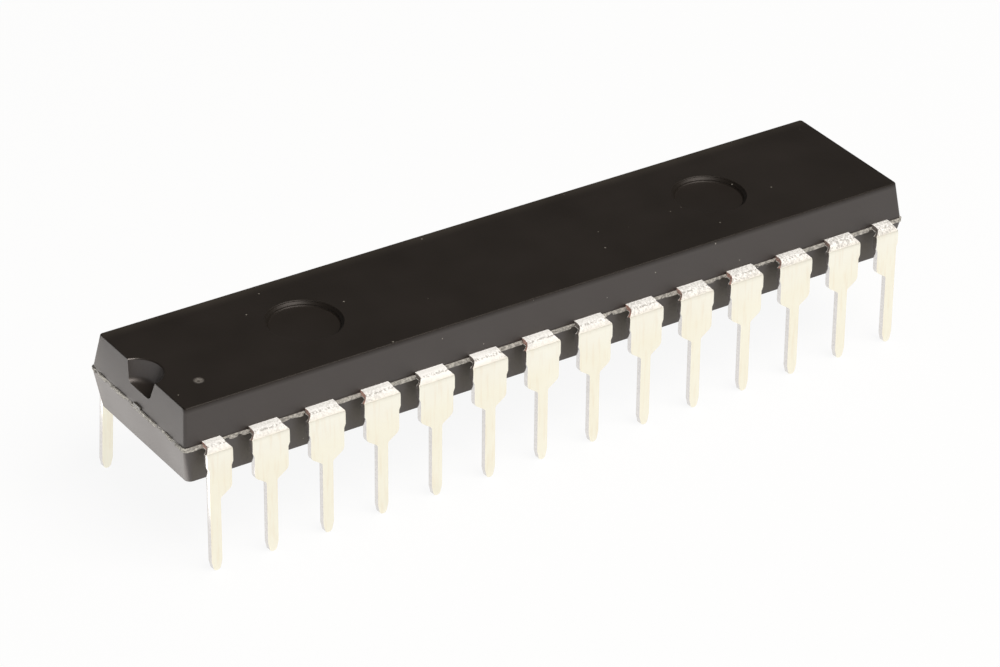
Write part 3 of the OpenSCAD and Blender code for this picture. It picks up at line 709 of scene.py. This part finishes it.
def side_outline(root, dam, shoulder):
    """Half width against distance along one side of the blank, from the root to the tip."""
    at = bend_start + arc
    shoulder_top = Vector((shoulder, at + shoulder_start))
    shoulder_end = Vector((shoulder, at + (bend_axis_z - shoulder_height) / math.cos(lean)))
    neck = Vector((leg_half, at + (bend_axis_z - leg_height) / math.cos(lean)))
    tip_corner = Vector((leg_half, at + leg_length - tip_height))
    tip, tip_middle = Vector((tip_half, at + leg_length)), Vector((0, at + leg_length))
    points = [Vector((root, root_inner))]
    for k in range(6):
        angle = dam_narrow + (dam_full - dam_narrow) * k / 5
        share = (math.cos(dam_narrow) - math.cos(angle)) / (math.cos(dam_narrow) - math.cos(dam_full))
        points.append(Vector((root + (dam - root) * share,
                              bend_start + (bend_radius + frame_thickness / 2) * angle)))
    points += [Vector((dam, at + dam_height)), shoulder_top]
    if shoulder > leg_half:
        points += rounded_corner(shoulder_top, shoulder_end, neck, shoulder_radius)
        points += rounded_corner(shoulder_end, neck, tip_corner, neck_radius)
    return points + [tip_corner, *rounded_corner(tip_corner, tip, tip_middle, tip_radius)]


plain_side = side_outline(root_half, dam_half, shoulder_half)
end_side = side_outline(end_root_half, end_dam_half, leg_half)
print("Outlines:", len(plain_side), "points a side, outer side of an end lead", len(end_side))


# %% Flat blank with rolled edges
def flat_blank(left, right_side):
    """Punched blank: the outline given its thickness, its edges rolled, and cut across the bend."""
    shape = bmesh.new()
    outline = [Vector((-p.x, p.y)) for p in left] + [p.copy() for p in reversed(right_side)]
    low = [shape.verts.new((p.x, p.y, frame_bottom)) for p in outline]
    high = [shape.verts.new((p.x, p.y, frame_top)) for p in outline]
    count = len(outline)
    cut_mark = shape.faces.layers.float.new("sheared")
    shape.faces.new(low)
    shape.faces.new(list(reversed(high)))
    for i in range(count):
        a, b = outline[i], outline[(i + 1) % count]
        wall_face = shape.faces.new((low[i], high[i], high[(i + 1) % count], low[(i + 1) % count]))
        if (a.y + b.y) / 2 < slope_end:
            wall_face[cut_mark] = 1.0
    bmesh.ops.recalc_face_normals(shape, faces=shape.faces)
    rims = [e for e in shape.edges if abs(e.verts[0].co.z - e.verts[1].co.z) < 1e-6
            and max(v.co.y for v in e.verts) > root_inner + 0.01]
    bmesh.ops.bevel(shape, geom=rims, offset=edge_roll, segments=2, profile=0.6, affect="EDGES")
    stations = 12
    for k in range(stations + 1):
        bmesh.ops.bisect_plane(shape, geom=[*shape.verts, *shape.edges, *shape.faces],
                               plane_co=(0, bend_start + arc * k / stations, 0), plane_no=(0, 1, 0), dist=1e-5)
    depth_mark = shape.verts.layers.float.new("depth")
    for v in shape.verts:
        v[depth_mark] = (frame_top - v.co.z) / frame_thickness
    return to_mesh("blank", shape)


blanks = {"plain": flat_blank(plain_side, plain_side), "end at +X": flat_blank(plain_side, end_side),
          "end at -X": flat_blank(end_side, plain_side)}
print("Blanks:", {name: len(mesh.polygons) for name, mesh in blanks.items()})

# %% Tree that forms the lead over the anvil
tree = form_tree = new_tree(
    "form the lead", "Blank", ("Bend start", "Bend radius", "Thickness", "Strip middle", "Lean"), "Lead")
given = add(tree, "NodeGroupInput")
spot = add(tree, "ShaderNodeSeparateXYZ", inputs={0: add(tree, "GeometryNodeInputPosition")})
half = add(tree, "ShaderNodeMath", {"operation": "MULTIPLY"}, {0: given.outputs["Thickness"], 1: 0.5})
mid_radius = add(tree, "ShaderNodeMath", {"operation": "ADD"}, {0: given.outputs["Bend radius"], 1: half})
most = add(tree, "ShaderNodeMath", {"operation": "SUBTRACT"}, {0: math.pi / 2, 1: given.outputs["Lean"]})
past = add(tree, "ShaderNodeMath", {"operation": "SUBTRACT"}, {
    0: spot.outputs["Y"], 1: given.outputs["Bend start"]})
angle = add(tree, "ShaderNodeMath", {"operation": "DIVIDE"}, {0: past, 1: mid_radius})
angle = add(tree, "ShaderNodeMath", {"operation": "MINIMUM"}, {0: angle, 1: most})
angle = add(tree, "ShaderNodeMath", {"operation": "MAXIMUM"}, {0: angle, 1: 0.0})
used = add(tree, "ShaderNodeMath", {"operation": "MULTIPLY"}, {0: mid_radius, 1: angle})
spare = add(tree, "ShaderNodeMath", {"operation": "SUBTRACT"}, {0: past, 1: used})
straight = add(tree, "ShaderNodeMath", {"operation": "MAXIMUM"}, {0: spare, 1: 0.0})
before = add(tree, "ShaderNodeMath", {"operation": "MINIMUM"}, {0: spare, 1: 0.0})
off_middle = add(tree, "ShaderNodeMath", {"operation": "SUBTRACT"}, {
    0: spot.outputs["Z"], 1: given.outputs["Strip middle"]})
radius = add(tree, "ShaderNodeMath", {"operation": "ADD"}, {0: mid_radius, 1: off_middle})
sine = add(tree, "ShaderNodeMath", {"operation": "SINE"}, {0: angle})
cosine = add(tree, "ShaderNodeMath", {"operation": "COSINE"}, {0: angle})
out = add(tree, "ShaderNodeMath", {"operation": "MULTIPLY_ADD"}, {
    0: radius, 1: sine, 2: given.outputs["Bend start"]})
out = add(tree, "ShaderNodeMath", {"operation": "MULTIPLY_ADD"}, {0: straight, 1: cosine, 2: out})
out = add(tree, "ShaderNodeMath", {"operation": "ADD"}, {0: out, 1: before})
centre = add(tree, "ShaderNodeMath", {"operation": "SUBTRACT"}, {
    0: given.outputs["Strip middle"], 1: mid_radius})
down = add(tree, "ShaderNodeMath", {"operation": "MULTIPLY_ADD"}, {0: radius, 1: cosine, 2: centre})
drop = add(tree, "ShaderNodeMath", {"operation": "MULTIPLY"}, {0: straight, 1: sine})
down = add(tree, "ShaderNodeMath", {"operation": "SUBTRACT"}, {0: down, 1: drop})
formed = add(tree, "ShaderNodeCombineXYZ", inputs={"X": spot.outputs["X"], "Y": out, "Z": down})
moved = add(tree, "GeometryNodeSetPosition", inputs={"Geometry": given.outputs["Blank"], "Position": formed})
real = add(tree, "GeometryNodeRealizeInstances", inputs={0: moved})
coated = add(tree, "GeometryNodeSetMaterial", inputs={"Geometry": real, "Material": tin})
add(tree, "NodeGroupOutput", inputs={0: coated})
formed_leads = {name: run_tree(mesh, form_tree, {
    "Bend start": bend_start * MM, "Bend radius": bend_radius * MM, "Thickness": frame_thickness * MM,
    "Strip middle": strip_middle * MM, "Lean": lean}) for name, mesh in blanks.items()}
print("Formed:", {name: len(mesh.polygons) for name, mesh in formed_leads.items()})

# %% [markdown]
# ## Two rows of leads
#
# Inside the moulding each lead runs on as a finger to the die, and each finger is different. The CAD
# solid has that flat part right, and nobody sees it, so it is taken over: a copy of the solid's mesh is
# merged, cut inside the wall and closed. The formed part outside is set in its place and joined to it.
# The row at +Y is made first, and a half turn about Z puts the same lead in the row at -Y.

# %% Inner part of a lead
inner_cut = 3.42


def inner_part(node, side_way):
    """Flat part of a lead inside the moulding, from a merged copy of its CAD solid."""
    shape = bmesh.new()
    shape.from_mesh(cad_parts[node].data)
    bmesh.ops.remove_doubles(shape, verts=shape.verts, dist=1e-7)
    cut = bmesh.ops.bisect_plane(shape, geom=[*shape.verts, *shape.edges, *shape.faces],
                                 plane_co=(0, side_way * inner_cut * MM, 0), plane_no=(0, side_way, 0),
                                 dist=1e-8, clear_outer=True)
    edges = [e for e in cut["geom_cut"] if isinstance(e, bmesh.types.BMEdge)]
    bmesh.ops.holes_fill(shape, edges=edges, sides=0)
    return shape


print("Inner parts are cut", round(side_y - inner_cut, 2), "mm inside the wall")

# %% Place the leads
row_leads = 14
for number in range(1, 2 * row_leads + 1):
    name = f"lead_{number:02d}"
    front = number <= row_leads
    column = number - 1 if front else 2 * row_leads - number
    x = (column - (row_leads - 1) / 2) * lead_pitch
    kind = "plain"
    if column in (0, row_leads - 1):
        at_plus_x = column == row_leads - 1
        kind = "end at +X" if at_plus_x != front else "end at -X"
    outer = bmesh.new()
    outer.from_mesh(formed_leads[kind])
    if front:
        bmesh.ops.rotate(outer, matrix=Matrix.Rotation(math.pi, 3, "Z"), verts=outer.verts)
    bmesh.ops.translate(outer, vec=(x * MM, 0, 0), verts=outer.verts)
    inner = inner_part(name, -1 if front else 1)
    both = bpy.data.meshes.new(name + "_tin")
    part = bpy.data.meshes.new("part")
    inner.to_mesh(part)
    outer.from_mesh(part)
    outer.to_mesh(both)
    outer.free()
    inner.free()
    bpy.data.meshes.remove(part)
    both.materials.append(tin)
    smooth_by_angle(both, 35)
    lead = mesh_object(name + "_plated", both)
    even = lead.modifiers.new("flat faces stay flat", "WEIGHTED_NORMAL")
    even.keep_sharp, even.weight = True, 90
    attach(lead, "root")
    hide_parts(name)
print("Leads:", 2 * row_leads, "of about", len(both.polygons), "faces")

# %% [markdown]
# ## What the moulding holds
#
# The die sits on its paddle on a layer of silver filled adhesive, and gold wires run from it to the
# fingers. The CAD solids of these have the right shape, so they stay and only get their finish. The two
# cut ends of the paddle's tie bars, which show at the ends of the body, are smeared grey with epoxy.

# %% Finishes inside
def simple_finish(title, dark, light, grain_mm, roughness, metallic, relief):
    """A finish with two tones and a fine bump, on a pattern of one real grain size."""
    made, tree = new_material(title)
    where = add(tree, "ShaderNodeTexCoord").outputs["Object"]
    pattern = add(tree, "ShaderNodeTexNoise", inputs={
        "Vector": where, "Scale": 1 / (grain_mm * MM), "Detail": 3.0})
    coloured = add(tree, "ShaderNodeMix", {"data_type": "RGBA"}, {
        "Factor": pattern.outputs[0], 6: linear(dark), 7: linear(light)})
    bump = add(tree, "ShaderNodeBump", inputs={
        "Strength": 0.4, "Distance": relief * MM, "Height": pattern.outputs[0]})
    shader = add(tree, "ShaderNodeBsdfPrincipled", inputs={
        "Base Color": coloured.outputs[2], "Roughness": roughness, "Metallic": metallic, "Normal": bump})
    add(tree, "ShaderNodeOutputMaterial", inputs={"Surface": shader})
    return made


inside = {
    "die_paddle": simple_finish("Copper alloy strip, rolled, bare",
                                "#b5764f", "#cf9268", 0.2, 0.35, 1.0, 0.004),
    "die_attach": simple_finish("Silver filled epoxy adhesive, cured",
                                "#8f8b82", "#b9b5ab", 0.08, 0.6, 0.0, 0.01),
    "die": simple_finish("Silicon, ground back and polished front",
                         "#3a3f4a", "#555c69", 0.3, 0.2, 0.0, 0.001),
    "bond_wires": simple_finish("Gold wire, drawn", "#d8a441", "#e6b95c", 0.05, 0.25, 1.0, 0.001),
}
print("Finishes inside:", [m.name for m in inside.values()])

# %% Grey ends of the tie bars, and the finishes put on
tie_inner_x = 17.35
tree = inside["die_paddle"].node_tree
shader = next(node for node in tree.nodes if node.type == "BSDF_PRINCIPLED")
strip_colour = shader.inputs["Base Color"].links[0].from_socket
where = add(tree, "ShaderNodeTexCoord").outputs["Object"]
along = add(tree, "ShaderNodeSeparateXYZ", inputs={0: where}).outputs["X"]
along = add(tree, "ShaderNodeMath", {"operation": "ABSOLUTE"}, {0: along})
inner = add(tree, "ShaderNodeMath", {"operation": "LESS_THAN"}, {0: along, 1: tie_inner_x * MM})
capped = add(tree, "ShaderNodeMix", {"data_type": "RGBA"}, {
    "Factor": inner, 6: linear("#64615c"), 7: strip_colour})
tree.links.new(capped.outputs[2], shader.inputs["Base Color"])
tree.links.new(inner.outputs[0], shader.inputs["Metallic"])
for name, finish in inside.items():
    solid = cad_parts[name]
    for slot in solid.material_slots:
        slot.material = finish
    if not solid.material_slots:
        solid.data.materials.append(finish)
print("Finished CAD solids:", list(inside))

# %% Plain view transform
bpy.context.scene.view_settings.view_transform = "Standard"
